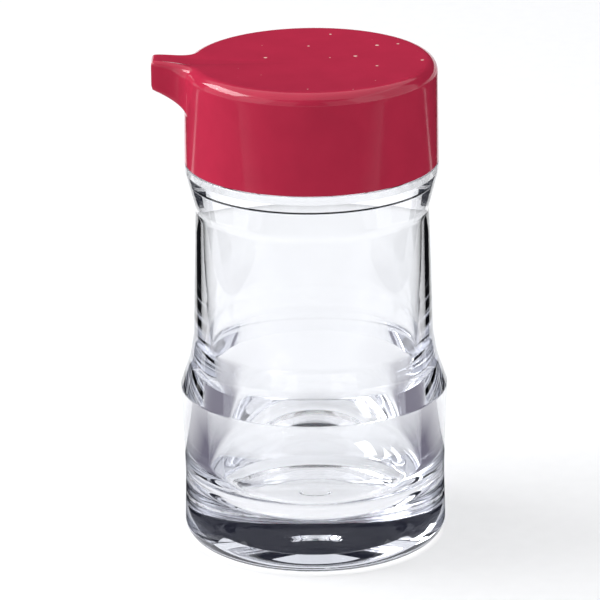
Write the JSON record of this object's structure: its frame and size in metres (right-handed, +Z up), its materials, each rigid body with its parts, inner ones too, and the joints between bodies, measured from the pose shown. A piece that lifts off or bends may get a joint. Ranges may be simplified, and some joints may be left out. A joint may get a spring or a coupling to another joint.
{
  "type": "soy sauce dispenser",
  "caption": "Clear waisted table bottle for soy sauce with a glossy red cap that has a short pouring spout; the cap turns on an inner stopper and both pull out of the neck for refilling.",
  "frame": {"origin": "centre of the bottle's foot, on the plane that it stands on", "axes": "+Z up along the bottle's axis, -X the way the spout points, Y across"},
  "size_m": [0.0693, 0.0638, 0.1189],
  "materials": {
    "clear_plastic": "polished clear moulded plastic",
    "red_plastic": "polished red moulded plastic",
    "white_plastic": "translucent white moulded plastic",
    "packing_rubber": "translucent silicone rubber"
  },
  "bodies": {
    "bottle": {"bottle": "clear_plastic"},
    "stopper": {"inner_stopper": "white_plastic", "packing_ring": "packing_rubber"},
    "cap": {"cap": "red_plastic"}
  },
  "joints": [
    {"name": "lift", "type": "slide", "parent": "bottle", "child": "stopper", "axis": [0, 0, 1], "range_m": [0, 0.06]},
    {"name": "turn", "type": "hinge", "parent": "stopper", "child": "cap", "pos_m": [0, 0, 0.1054], "axis": [0, 0, 1], "continuous": true}
  ]
}
